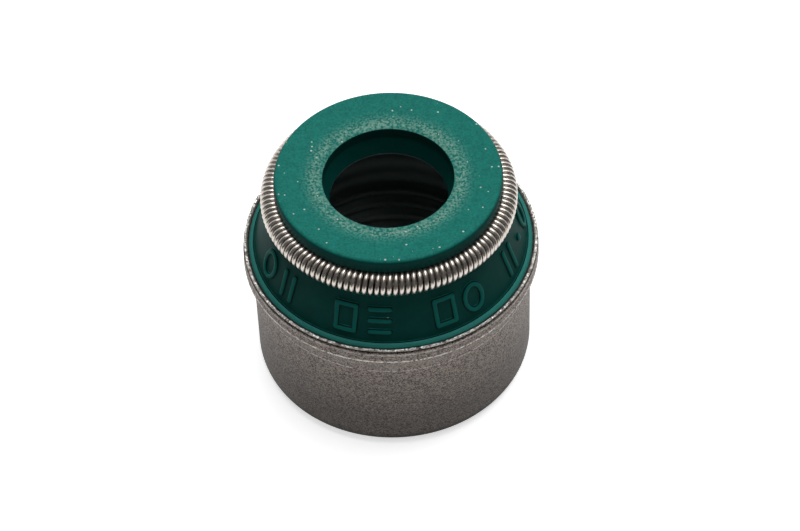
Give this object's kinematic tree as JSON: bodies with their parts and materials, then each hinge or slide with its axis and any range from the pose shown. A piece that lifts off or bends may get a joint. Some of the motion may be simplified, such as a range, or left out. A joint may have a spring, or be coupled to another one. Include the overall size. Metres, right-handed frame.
{
  "type": "valve stem seal",
  "caption": "Round oil seal for an engine valve stem: a rubber lip body with a garter spring, moulded into a flared steel sleeve that fits over the valve guide.",
  "frame": {"origin": "centre of the foot that the seal stands on", "axes": "+Z along the seal's axis, from the foot to the sealing head; -Y is the front, the side the picture shows"},
  "size_m": [0.014, 0.014, 0.0119],
  "materials": {
    "phosphated_steel": "drawn sheet steel with a dull, granular grey phosphate coat; bare and bright where the rim was trimmed",
    "green_rubber": "moulded dark green fluoroelastomer, satin, lightly scuffed on the top face",
    "spring_wire": "drawn stainless spring wire, bright"
  },
  "bodies": {
    "root": {"metal_case": "phosphated_steel", "rubber_body": "green_rubber", "garter_spring": "spring_wire"}
  },
  "joints": []
}
